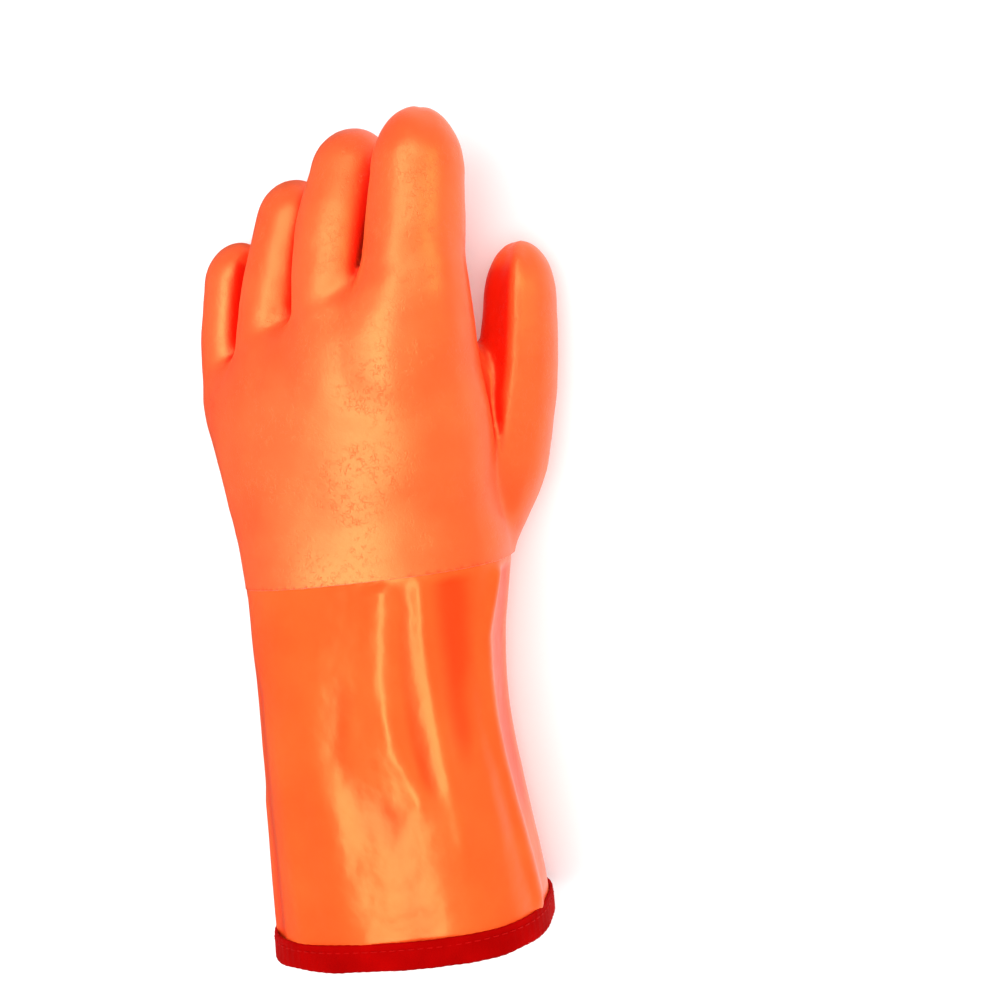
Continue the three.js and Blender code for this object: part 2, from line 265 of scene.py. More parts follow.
def digit_line(digit, t):
    """Points, headings and cross axes along a digit's middle line. The heading leans and
    droops from the root's angles to the tip's in an S-curve, and is summed up into places."""
    root = body_section(digit["along"])
    across, above = digit["across"] * root["wide"], digit["above"] * root["deep"]
    c, s = np.cos(root["roll"]), np.sin(root["roll"])
    start = np.concatenate([root["x"] + across * c - above * s, root["y"],
                            root["z"] + across * s + above * c])
    ease = smooth_step(t)
    lean = np.radians(mix(digit["lean"][0], digit["lean"][1], ease))
    droop = np.radians(mix(digit["droop"][0], digit["droop"][1], ease))
    heading = np.stack([np.sin(lean) * np.cos(droop), np.cos(lean) * np.cos(droop), -np.sin(droop)], 1)
    length = digit["long"] * digit["length"]
    steps = (heading[1:] + heading[:-1]) / 2 * np.diff(t)[:, None] * length
    points = np.vstack([np.zeros(3), np.cumsum(steps, 0)])
    points += start - np.array([np.interp(0, t, points[:, i]) for i in range(3)])
    roll = math.radians(digit["roll"])
    across = np.cross(heading, (-math.sin(roll), 0, math.cos(roll)))
    across /= np.linalg.norm(across, axis=1)[:, None]
    return points, heading, across, np.cross(across, heading)


def digit_skin(digit, q):
    """How far points lie outside a digit, their share of its length and their angle round
    it in degrees. Across the middle line the power mean of the two shares of its half sizes
    is joined with the share of the rounded tip or root; less 1, over its slope, is a
    distance. Ridges add a bell curve of the distance from their line."""
    length = digit["long"] * digit["length"]
    half_w = digit["wide"] * digit["width"] / 2
    half_d = half_w * digit["deeper"]
    tip = half_d * digit["taper"] * digit["pointed"]
    root = half_d * ROOT_ROUND
    shoulder = 1 - tip / length
    t = np.linspace(-0.25, 1.05, 131)
    points, heading, across, up = digit_line(digit, t)
    closest = np.concatenate([
        ((part ** 2).sum(1)[:, None] - 2 * part @ points.T + (points ** 2).sum(1)).argmin(1)
        for part in np.array_split(q, max(1, len(q) // 60000))])
    past = ((q - points[closest]) * heading[closest]).sum(1)
    place = t[closest] + past / length
    off = q - points[closest] - heading[closest] * past[:, None]
    swell = mix(digit["root"], 1, smooth_step(place / ROOT_SHARE))
    size = swell * mix(1, digit["taper"], np.clip(place / shoulder, 0, 1))
    a, b, n = half_w * size, half_d * size, DIGIT_SQUARE
    u, v = (off * across[closest]).sum(1) / a, (off * up[closest]).sum(1) / b
    su, sv = np.abs(u) + 1e-4, np.abs(v) + 1e-4
    ring = (su ** n + sv ** n) ** (1 / n)
    end = np.where(place > shoulder, (place - shoulder) * length / tip,
                   np.maximum(-place, 0) * length / root)
    end_size = np.where(place > shoulder, tip, root)
    turn = np.degrees(np.arctan2(v, u))
    raised = 0
    for angle, wide, high, first, last in digit.get("ridges", ()):
        aside = np.radians((turn - angle + 180) % 360 - 180) * half_w / wide
        beyond = np.maximum(0, np.maximum(first - place, place - last)) * length / (1.5 * wide)
        raised = raised + high * np.exp(-aside ** 2 - beyond ** 2)
    mean = np.hypot(ring, end)
    slope = np.sqrt(((su / ring) ** (n - 1) * ring / mean / a) ** 2
                    + ((sv / ring) ** (n - 1) * ring / mean / b) ** 2
                    + (end / mean / end_size) ** 2)
    return (mean - 1) / slope - raised, place, turn


def digit_distance(digit, x, y, z):
    """How far the points of a grid lie outside a digit; far from it, 40 mm."""
    points = digit_line(digit, np.linspace(-0.25, 1.05, 27))[0]
    reach = digit["wide"] * digit["width"] / 2 * digit["deeper"] + 14
    near = np.ones(x.shape, bool)
    for grid, i in ((x, 0), (y, 1), (z, 2)):
        near &= (grid > points[:, i].min() - reach) & (grid < points[:, i].max() + reach)
    distance = np.full(x.shape, 40.0)
    distance[near] = digit_skin(digit, np.stack([x[near], y[near], z[near]], 1))[0]
    return distance


def digit_shade(digit, points):
    """How much painted shade points get in a digit's shaded creases, from 0 to 1: the product
    of soft steps past the crease's two angles and its two ends, on that digit's own skin."""
    distance, place, turn = digit_skin(digit, points)
    shade = 0
    for first, last, start, end in digit.get("shades", ()):
        middle, half = (first + last) / 2, (last - first) / 2
        aside = half - np.abs((turn - middle + 180) % 360 - 180)
        inside = smooth_step(aside / 10 + 0.5) * smooth_step((place - start) / 0.12)
        shade = np.maximum(shade, inside * smooth_step((end - place) / 0.06))
    return shade * smooth_step(1.8 - np.abs(distance) / 2)


def hand_distance(x, y, z):
    """How far points lie outside the hand: the palm run softly into the ball of the thumb,
    then into the thumb and each finger, and pressed flat on the surface below."""
    ball, thumb = DIGITS[5], DIGITS[4]
    body = soft_min(palm_distance(x, y, z), digit_distance(ball, x, y, z), ball["blend"])
    whole = soft_min(body, digit_distance(thumb, x, y, z), thumb["blend"])
    for finger in DIGITS[:4]:
        whole = np.minimum(whole, soft_min(body, digit_distance(finger, x, y, z), finger["blend"]))
    return -soft_min(-whole, z, REST_ROUND)


def without_pinches(field):
    """The field with its four nodes drawn inside round each grid square that has only two
    opposite ones inside, where the surface would meet itself in an edge."""
    for _ in range(8):
        pinched = 0
        for axis in range(3):
            square = []
            for m, n in ((0, 0), (1, 0), (0, 1), (1, 1)):
                pick = [slice(None)] * 3
                for other, step in (((axis + 1) % 3, m), ((axis + 2) % 3, n)):
                    pick[other] = slice(step, field.shape[other] - 1 + step)
                square.append(field[tuple(pick)])
            a, b, c, d = (part < 0 for part in square)
            bad = (a == d) & (b == c) & (a != b)
            for part in square:
                part[bad] = np.minimum(part[bad], -0.02)
            pinched += bad.sum()
        if not pinched:
            break
    return field


def net_of_field(field, low, pitch):
    """The surface where a field on a grid passes zero: one corner in each cell that it
    passes through, at the mean of the places where it crosses the cell's edges, and one
    four-sided face round each grid edge that it crosses."""
    inside = field < 0
    nx, ny, nz = field.shape
    total = np.zeros((nx - 1, ny - 1, nz - 1, 3))
    count = np.zeros((nx - 1, ny - 1, nz - 1))
    for axis in range(3):
        ends = [slice(None)] * 3
        starts = [slice(None)] * 3
        ends[axis], starts[axis] = slice(1, None), slice(None, -1)
        f0, f1 = field[tuple(starts)], field[tuple(ends)]
        crossed = inside[tuple(starts)] != inside[tuple(ends)]
        share = np.where(crossed, f0 / np.where(crossed, f0 - f1, 1), 0)
        others = [i for i in range(3) if i != axis]
        for m in (0, 1):
            for n in (0, 1):
                pick = [slice(None)] * 3
                pick[others[0]] = slice(m, field.shape[others[0]] - 1 + m)
                pick[others[1]] = slice(n, field.shape[others[1]] - 1 + n)
                hit = crossed[tuple(pick)]
                total[..., axis] += share[tuple(pick)] * hit
                total[..., others[0]] += m * hit
                total[..., others[1]] += n * hit
                count += hit
    active = count > 0
    index = np.full(active.shape, -1)
    index[active] = np.arange(active.sum())
    cells = np.argwhere(active)
    corners = (cells + total[active] / count[active][:, None]) * pitch + low
    faces = []
    for axis in range(3):
        b, c = (axis + 1) % 3, (axis + 2) % 3
        starts = [slice(1, -1)] * 3
        ends = [slice(1, -1)] * 3
        starts[axis], ends[axis] = slice(0, -1), slice(1, None)
        f0, f1 = inside[tuple(starts)], inside[tuple(ends)]
        where = np.argwhere(f0 != f1) + np.array([int(i != axis) for i in range(3)])
        step_b, step_c = np.eye(3, dtype=int)[b], np.eye(3, dtype=int)[c]
        ring = [where - step_b - step_c, where - step_c, where, where - step_b]
        quad = np.stack([index[tuple(r.T)] for r in ring], 1)
        leaving = inside[tuple(where.T)]
        quad[~leaving] = quad[~leaving][:, ::-1]
        faces.append(quad)
    return corners, np.vstack(faces)


def sample(field, low, pitch, points):
    """A grid's values at points between its nodes, in straight lines along each axis."""
    place = (points - low) / pitch
    place = np.clip(place, 0, np.array(field.shape) - 1.001)
    i = place.astype(int)
    t = place - i
    value = 0
    for dx in (0, 1):
        for dy in (0, 1):
            for dz in (0, 1):
                weight = (np.where(dx, t[:, 0], 1 - t[:, 0]) * np.where(dy, t[:, 1], 1 - t[:, 1])
                          * np.where(dz, t[:, 2], 1 - t[:, 2]))
                value = value + weight * field[i[:, 0] + dx, i[:, 1] + dy, i[:, 2] + dz]
    return value


def slope_of(field, low, pitch, points):
    """The field's slope at points, from differences half a pitch to each side."""
    h = pitch / 2
    return np.stack([(sample(field, low, pitch, points + step)
                      - sample(field, low, pitch, points - step)) / pitch for step in np.eye(3) * h], 1)


def relax(corners, faces, rounds, weight):
    """Each corner moved towards the mean of its neighbours, a share of the way each round."""
    pairs = np.vstack([faces[:, [0, 1]], faces[:, [1, 2]], faces[:, [2, 3]], faces[:, [3, 0]]])
    for _ in range(rounds):
        total = np.zeros_like(corners)
        for i in range(3):
            total[:, i] = np.bincount(pairs[:, 0], corners[pairs[:, 1], i], len(corners))
            total[:, i] += np.bincount(pairs[:, 1], corners[pairs[:, 0], i], len(corners))
        count = np.bincount(pairs.ravel(), minlength=len(corners))[:, None]
        corners = mix(corners, total / count, weight)
    return corners


def normals_of(corners, faces):
    """Outward directions at the corners: the sum of the crossed diagonals of their faces."""
    a, b, c, d = (corners[faces[:, i]] for i in range(4))
    cross = np.cross(c - a, d - b)
    total = np.zeros_like(corners)
    for i in range(3):
        for k in range(4):
            total[:, i] += np.bincount(faces[:, k], cross[:, i], len(corners))
    return total / np.maximum(np.linalg.norm(total, axis=1), 1e-12)[:, None]


def make_piece(name, corners, faces, materials, picks=None, uv=None, crisp=False, **values):
    """A mesh object from corners in millimetres and four-sided faces. picks is the material
    of each face, uv a pair for each face corner, and values are numbers for each corner. A
    crisp piece is shaded smooth only across edges that turn less than 50 degrees."""
    mesh = bpy.data.meshes.new(name)
    mesh.from_pydata(corners * MM, [], faces.tolist())
    for material in materials:
        mesh.materials.append(material)
    if picks is not None:
        mesh.polygons.foreach_set("material_index", picks.astype(np.int32))
    if uv is not None:
        mesh.uv_layers.new(name="cloth").data.foreach_set("uv", uv.ravel())
    for key, value in values.items():
        mesh.attributes.new(key, "FLOAT", "POINT").data.foreach_set("value", value.astype(np.float32))
    mesh.shade_smooth()
    if crisp:
        mesh.set_sharp_from_angle(angle=math.radians(50))
    piece = bpy.data.objects.new(name, mesh)
    bpy.context.collection.objects.link(piece)
    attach(piece, "root")
    return piece


def grid_faces(rows, columns):
    """Faces of a surface closed both ways: rows of corners, each row a closed ring."""
    r, c = np.meshgrid(np.arange(rows), np.arange(columns), indexing="ij")
    r1, c1 = (r + 1) % rows, (c + 1) % columns
    quads = np.stack([r * columns + c, r * columns + c1, r1 * columns + c1, r1 * columns + c], -1)
    return quads.reshape(-1, 4)


def linear(hex_colour):
    """An sRGB colour written #rrggbb, as linear red, green, blue and 1."""
    parts = [int(hex_colour[i:i + 2], 16) / 255 for i in (1, 3, 5)]
    return [c / 12.92 if c <= 0.04045 else ((c + 0.055) / 1.055) ** 2.4 for c in parts] + [1.0]


def feed(tree, node, inputs):
    """Inputs of a node, each set to a value or linked from a socket."""
    for key, value in inputs.items():
        if isinstance(value, bpy.types.NodeSocket):
            tree.links.new(value, node.inputs[key])
        else:
            node.inputs[key].default_value = value


def add(tree, kind, inputs=None, **settings):
    """A new node with its settings and inputs."""
    made = tree.nodes.new(kind)
    for key, value in settings.items():
        setattr(made, key, value)
    feed(tree, made, inputs or {})
    return made


def noise(tree, where, scale, detail, output="Fac"):
    """A noise, whose patches are about 1/scale metres across."""
    return add(tree, "ShaderNodeTexNoise",
               {"Vector": where, "Scale": scale, "Detail": detail}).outputs[output]


def carried(tree, name):
    """The number that each corner of a piece carries under a name."""
    return add(tree, "ShaderNodeAttribute", attribute_name=name).outputs["Fac"]


def remap(tree, value, start, end, low, high):
    """A value between two limits, as a share of the way from low to high."""
    return add(tree, "ShaderNodeMapRange", {"Value": value, "From Min": start, "From Max": end,
                                            "To Min": low, "To Max": high}).outputs[0]


def combine(tree, operation, *values):
    """One or two values put through an operation of the math node."""
    return add(tree, "ShaderNodeMath", dict(enumerate(values)), operation=operation).outputs[0]


def tint(tree, colour, other, share):
    """A colour turned by a share towards another, which is written #rrggbb."""
    return add(tree, "ShaderNodeMix", {"A": colour, "B": linear(other), "Factor": share},
               data_type="RGBA").outputs["Result"]


def relief(tree, height, strength, distance, under=None, invert=False):
    """A bump of a distance in metres, on top of another where under is given."""
    inputs = {"Height": height, "Strength": strength, "Distance": distance}
    if under:
        inputs["Normal"] = under
    return add(tree, "ShaderNodeBump", inputs, invert=invert).outputs["Normal"]


def new_material(name):
    material = bpy.data.materials.new(name)
    material.use_nodes = True
    tree = material.node_tree
    shader = tree.nodes["Principled BSDF"]
    where = add(tree, "ShaderNodeTexCoord").outputs["Object"]
    return material, tree, shader, where


def ramp(tree, value, stops):
    """A colour ramp node: stops are pairs of a place and a colour."""
    made = add(tree, "ShaderNodeValToRGB", {"Fac": value})
    elements = made.color_ramp.elements
    while len(elements) < len(stops):
        elements.new(0.5)
    for element, (place, colour) in zip(elements, stops):
        element.position = place
        element.color = linear(colour)
    return made.outputs["Color"]


def skin_of_pvc(tree, shader):
    """What both coats share: a film that lets light in a little way, so that it glows redder
    at its edges, and mirrors white light as orange except at a glancing angle."""
    feed(tree, shader, {"IOR": 1.53, "Specular Tint": linear("#ffc878"), "Subsurface Weight": 0.20,
                        "Subsurface Radius": (1.0, 0.30, 0.10), "Subsurface Scale": 0.003})


# Matt dipped PVC, pigmented fluorescent orange: soft, grainy and a little leathery, with a
# wide dull sheen, finely wrinkled where the padding under it is pressed.
def hand_coat_material():
    material, tree, shader, where = new_material("matt_dipped_pvc")
    skin_of_pvc(tree, shader)
    # Orange in clouds 36 mm across, with painted shade: deep red in the slits and creases, and darker red
    # at the bottom of the slits
    cloud = noise(tree, where, 28.0, 3.0)
    colour = ramp(tree, cloud, [(0.35, "#fb5426"), (0.65, "#ff602e")])
    # Painted shade: deep red where the slits and creases lie in shadow
    colour = tint(tree, colour, "#ee1404", carried(tree, "slit"))
    # Painted shade: darker red at the bottom of the narrowest slits
    colour = tint(tree, colour, "#8c0a02", carried(tree, "core"))
    # Wrinkles round patches 1.6 mm across, bent by a noise 3 mm wide, gathered in fields
    # about 17 mm wide and broken off every 2.4 mm, under a grain of the foamed coat, 0.7 mm
    bend = noise(tree, where, 330.0, 2.0, "Color")
    bent = add(tree, "ShaderNodeMix", {"A": where, "B": bend, "Factor": 0.0045}, data_type="VECTOR")
    patches = add(tree, "ShaderNodeTexVoronoi", {"Vector": bent.outputs["Result"], "Scale": 620.0},
                  feature="DISTANCE_TO_EDGE").outputs["Distance"]
    lines = remap(tree, patches, 0.0, 0.09, 1.0, 0.0)
    fields = remap(tree, noise(tree, where, 60.0, 2.0), 0.36, 0.64, 0.0, 1.0)
    broken = remap(tree, noise(tree, where, 420.0, 1.0), 0.47, 0.56, 0.0, 1.0)
    wrinkles = combine(tree, "MULTIPLY", combine(tree, "MULTIPLY", lines, fields), broken)
    coarse = relief(tree, wrinkles, 0.45, 0.0002, invert=True)
    grain = noise(tree, where, 1400.0, 2.0)
    feed(tree, shader, {"Base Color": colour, "Roughness": remap(tree, cloud, 0.0, 1.0, 0.33, 0.42),
                        "Normal": relief(tree, grain, 0.30, 0.0002, coarse), "Specular IOR Level": 0.9})
    return material


# The first coat of PVC, left glossy on the sleeve: a smooth film with a slight orange-peel,
# which shows long soft lights on its folds.
def sleeve_coat_material():
    material, tree, shader, where = new_material("glossy_dipped_pvc")
    skin_of_pvc(tree, shader)
    # Orange in clouds 42 mm across, with a painted shade, redder, in the hollows between the folds
    colour = ramp(tree, noise(tree, where, 24.0, 3.0), [(0.35, "#fd541e"), (0.65, "#ff6026")])
    # Painted shade: redder where the folds sink in, for the shade between them
    colour = tint(tree, colour, "#f83c10", carried(tree, "hollow"))
    # Dimples 8 mm across, where the padding under the film is uneven, and orange-peel of 4 mm
    dimples = relief(tree, noise(tree, where, 125.0, 1.0), 0.35, 0.0008)
    peel = relief(tree, noise(tree, where, 240.0, 2.0), 0.25, 0.0005, dimples)
    feed(tree, shader, {"Base Color": colour, "Normal": peel, "Roughness": 0.30, "Specular IOR Level": 0.6})
    return material


# Brushed cotton jersey, the lining's inner side: cream, fluffy and without any shine.
def lining_material():
    material, tree, shader, where = new_material("brushed_cotton_jersey")
    # Fluff 1.4 mm across
    fluff = noise(tree, where, 700.0, 4.0)
    feed(tree, shader, {"Base Color": ramp(tree, fluff, [(0.30, "#d8cdb8"), (0.70, "#f3ecdd")]),
                        "Normal": relief(tree, fluff, 0.6, 0.0008), "Roughness": 0.95, "Sheen Weight": 0.5})
    return material


# Polyester tape, woven and dyed deep red: matt and slightly ribbed, with hardly any shine.
def tape_material():
    material, tree, shader, where = new_material("woven_polyester_tape")
    cloth = add(tree, "ShaderNodeUVMap", uv_map="cloth").outputs["UV"]
    split = add(tree, "ShaderNodeSeparateXYZ", {"Vector": cloth})
    # A weave of waves 0.9 mm long round the rim and 0.7 mm long across the tape, with lint
    # 1.1 mm across; the map's two sides are in millimetres
    threads = [combine(tree, "SINE", combine(tree, "MULTIPLY", split.outputs[side], 2 * math.pi / long))
               for side, long in (("X", 0.9), ("Y", 0.7))]
    height = combine(tree, "ADD", combine(tree, "MULTIPLY", *threads), noise(tree, where, 900.0, 3.0))
    # Dyed unevenly in patches 17 mm across
    colour = ramp(tree, noise(tree, where, 60.0, 2.0), [(0.3, "#9a0202"), (0.7, "#b00303")])
    feed(tree, shader, {"Base Color": colour, "Normal": relief(tree, height, 0.25, 0.00015),
                        "Roughness": 0.9, "Specular IOR Level": 0.08, "Specular Tint": linear("#ff5040")})
    return material


# Spun polyester thread, dyed as the tape but a little lighter, with a painted highlight: lighter where its
# twist stands up.
def thread_material():
    material, tree, shader, where = new_material("spun_polyester_thread")
    # The thread's twist, 0.4 mm long, as a painted highlight: lighter where it stands up
    painted_twist_highlight = noise(tree, where, 2500.0, 2.0)
    feed(tree, shader, {"Base Color": ramp(tree, painted_twist_highlight, [(0.3, "#ac0606"), (0.7, "#c01010")]),
                        "Roughness": 0.7, "Specular IOR Level": 0.2, "Specular Tint": linear("#ff5040")})
    return material


def fold_height(along, degrees, half_width):
    """The height of the sleeve's folds at a place: for each fold, its height times a bell
    curve of the distance from its line, which fades past the line's two ends. All fade out
    over EDGE_FADE, the last millimetres to the edge of the second coat."""
    height = 0
    for fold in FOLDS:
        run = np.array(sorted(fold["run"]))
        middle = np.interp(along, run[:, 0], run[:, 1])
        aside = (degrees - middle + 180) % 360 - 180
        across = np.radians(aside) * half_width / fold["wide"]
        past = np.maximum(0, np.maximum(run[0, 0] - along, along - run[-1, 0])) * GAUNTLET_LENGTH
        height = height + fold["high"] * np.exp(-across ** 2 - (past / (1.6 * fold["wide"])) ** 2)
    return height * smooth_step(-along * GAUNTLET_LENGTH / EDGE_FADE)


def body_rings(along, turn, grow, folds=True):
    """Rings of corners round the body: the section's oval at an angle, grown outwards, with
    the sleeve's folds on it, turned, and pressed flat where it would go below the surface."""
    s = {key: value[:, None] for key, value in body_section(along).items()}
    c, v = oval(turn[None], s["square"])
    degrees = np.degrees(turn)[None] % 360
    out = grow + (fold_height(s["along"], degrees, s["a"]) if folds else 0)
    u = c * (s["a"] + out)
    v = v * (s["b"] + out)
    x = s["x"] + u * np.cos(s["roll"]) - v * np.sin(s["roll"])
    y = s["y"] + u * s["skew"]
    z = s["z"] + u * np.sin(s["roll"]) + v * np.cos(s["roll"])
    z = np.maximum(z, np.maximum(0, s["trim"] - grow))
    return np.stack([x, y, z], -1)


def sleeve(material, lining):
    """The gauntlet: rings from the rim to the coat's edge on its outside and back inside.
    Soft waves lie over the folds, and a painted shade, redder, grows with how deep a corner lies between
    them."""
    columns = 360
    turn = np.linspace(0, -2 * math.pi, columns, endpoint=False)
    along = np.linspace(-1, 0, 150)
    outer = body_rings(along, turn, 0.0)
    inner = body_rings(along[::-5], turn, -WALL, folds=False)
    rings = np.concatenate([outer, inner])
    corners = rings.reshape(-1, 3)
    faces = grid_faces(len(rings), columns)
    row = np.arange(len(faces)) // columns
    picks = (row >= len(outer) - 1).astype(int)
    wave = waves(corners, 28, 3) * 0.22 + waves(corners, 11, 4) * 0.05
    outside = np.repeat(np.r_[np.ones(len(outer)), np.zeros(len(inner))], columns)
    from_edge = COAT_EDGE - corners[:, 1]
    rise = np.clip(corners[:, 2] / REST_FADE, 0, 1) * smooth_step(from_edge / EDGE_FADE)
    tucked = TUCK * (1 - smooth_step(from_edge / TUCK_RUN))
    corners = corners + normals_of(corners, faces) * ((wave * rise - tucked) * outside)[:, None]
    corners[:, 1] = np.minimum(corners[:, 1], COAT_EDGE)
    corners[:, 2] = np.maximum(corners[:, 2], 0)
    # A painted shade between the folds, by how deep each sinks in
    sunk = -fold_height(along[:, None], np.degrees(turn)[None] % 360, CUFF_WIDTH / 2).ravel()
    hollow = np.r_[smooth_step(sunk / 1.6), np.zeros(len(corners) - len(sunk))]
    piece = make_piece("sleeve", corners, faces, [material, lining], picks, crisp=True, hollow=hollow)
    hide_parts("gauntlet")
    return piece


def step_onto(value, slope):
    """What to take from corners so that a field falls by a value: the value times the slope
    over the slope's square, held short where the field is nearly flat."""
    return slope * (value / np.maximum((slope ** 2).sum(1), 0.3))[:, None]


def hand(material, lining):
    """The hand's skin: where the distance field passes 0 outside and 3 mm inside, cut off
    flat at the edge of the second coat, relaxed and drawn back onto the field. A painted
    shade, deep red, grows where the space outside a corner is narrow or a digit is shaded,
    and a darker painted shade in the narrowest space."""
    pitch = 1.24
    low = np.array([-75.0, COAT_EDGE - 4.2 * pitch, -3.0])
    count = np.array([122, 138, 66])
    axes = [low[i] + pitch * np.arange(count[i]) for i in range(3)]
    x, y, z = np.meshgrid(*axes, indexing="ij")
    skin = hand_distance(x, y, z)
    wall = WALL + SECOND_COAT
    shell = np.maximum(skin, -(skin + wall))
    shell = np.maximum(shell, COAT_EDGE + 0.05 - y)
    corners, faces = net_of_field(without_pinches(shell), low, pitch)
    inside = sample(skin, low, pitch, corners) < -wall / 2
    rim = corners[:, 1] < COAT_EDGE + 0.8 * pitch
    corners[rim, 1] = COAT_EDGE
    for _ in range(3):
        moved = relax(corners, faces, 2, 0.5)
        corners = np.where(rim[:, None], corners, moved)
        value = sample(skin, low, pitch, corners) + np.where(inside, wall, 0)
        step = step_onto(value, slope_of(skin, low, pitch, corners))
        corners = np.where(rim[:, None], corners, corners - step)
    # The rim's corners near either skin are drawn onto it, and the others stay in the wall
    for _ in range(3):
        value = sample(skin, low, pitch, corners)
        target = np.where(value > -0.35 * wall, 0, np.where(value < -0.65 * wall, -wall, value))
        step = step_onto(value - target, slope_of(skin, low, pitch, corners) * (1, 0, 1))
        corners = np.where(rim[:, None], corners - step, corners)
    normals = normals_of(corners, faces)
    outside = ~inside & (corners[:, 1] > COAT_EDGE + 0.4)
    fade = smooth_step((corners[:, 1] - COAT_EDGE) / HAND_FADE)
    fade = fade * np.clip(corners[:, 2] / REST_FADE, 0, 1)
    wave = waves(corners, 28, 8) * 0.28 + waves(corners, 9, 9) * 0.07
    corners = corners + normals * (wave * fade * outside)[:, None]
    corners[:, 2] = np.maximum(corners[:, 2], 0)
    # How free the space is at three distances in millimetres straight out from each corner
    room = 0
    for far, share in ((2.5, 0.4), (5.0, 0.4), (9.0, 0.2)):
        room = room + share * np.clip(sample(skin, low, pitch, corners + normals * far) / far, 0, 1)
    # Painted shade, deep red, where little room is left outside a corner and on each digit's shaded
    # creases, for the shadow that falls there
    slit = smooth_step((0.85 - room) / 0.6)
    for digit in DIGITS:
        slit = np.maximum(slit, digit_shade(digit, corners))
    above = ~inside * (corners[:, 2] > 4)
    slit = slit * above
    # A darker painted shade at the bottom of the narrowest slits
    core = smooth_step((0.22 - room) / 0.2) * above
    picks = inside[faces].any(1).astype(int)
    piece = make_piece("coated_hand", corners, faces, [material, lining], picks, crisp=True,
                       slit=slit, core=core)
    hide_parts("hand")
    return piece


def binding(material):
    """The tape: a rounded U-shaped profile carried round the rim, up the outside of the
    sleeve, round its end and up the inside, with a soft swell between its stitches."""
    columns = 520
    turn = np.linspace(0, -2 * math.pi, columns, endpoint=False)
    edge = BINDING_WIDTH / GAUNTLET_LENGTH
    corner = BINDING_THICKNESS * 0.4
    # Each point of the profile is a share of the sleeve's length from the rim and a height
    outside = [(edge, CLEARANCE + 0.1), (edge + 0.0008, CLEARANCE + corner),
               (edge, STACK - corner * 0.5), (edge - 0.004, STACK)]
    outside += [(e, STACK) for e in np.linspace(edge - 0.010, 0.0, 9)]
    arc = np.linspace(0, math.pi, 11)[1:-1]
    half = WALL / 2 + STACK
    round_end = [(-(STACK * math.sin(a)) / GAUNTLET_LENGTH, -WALL / 2 + half * math.cos(a))
                 for a in arc]
    inside = [(e, -WALL - STACK) for e in np.linspace(0.0, edge - 0.006, 7)]
    inside += [(edge - 0.001, -WALL - STACK + corner), (edge, -WALL - CLEARANCE - 0.1)]
    back = [(e, -WALL - CLEARANCE + 0.2) for e in (edge - 0.02, 0.0)]
    back += [(e, CLEARANCE - 0.2) for e in (0.0, edge - 0.02)]
    profile = np.array(outside + round_end + inside + back)
    rings = []
    for e, grow in profile:
        ring = body_rings([-1 + max(e, 0)], turn, grow, folds=False)[0]
        ring[:, 1] += min(e, 0) * GAUNTLET_LENGTH
        rings.append(ring)
    rings = np.array(rings)
    corners = rings.reshape(-1, 3)
    faces = grid_faces(len(rings), columns)
    normals = normals_of(corners, faces)
    steps = np.linalg.norm(np.diff(rings[8], axis=0), axis=1)
    round_rim = np.tile(np.cumsum(np.r_[0, steps]), len(rings))
    pucker = np.cos(2 * math.pi * round_rim / (STITCH_LENGTH + STITCH_GAP)) * 0.06
    pucker = pucker + waves(corners, 14, 21) * 0.25
    corners = corners + normals * pucker[:, None]
    corners[:, 2] = np.maximum(corners[:, 2], 0)
    across = np.cumsum(np.r_[0, np.linalg.norm(np.diff(rings[:, 0], axis=0), axis=1)])
    place = np.stack([round_rim, np.repeat(across, columns)], -1)
    uv = place[faces]
    # The faces that close each ring end a whole round from its start
    closing = np.arange(len(faces)) % columns == columns - 1
    uv[closing[:, None] & np.array([[0, 1, 1, 0]], bool), 0] = round_rim.max() + 0.6
    piece = make_piece("edge_tape", corners, faces[:, ::-1], [material], uv=uv[:, ::-1])
    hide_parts("edge_binding")
    return piece


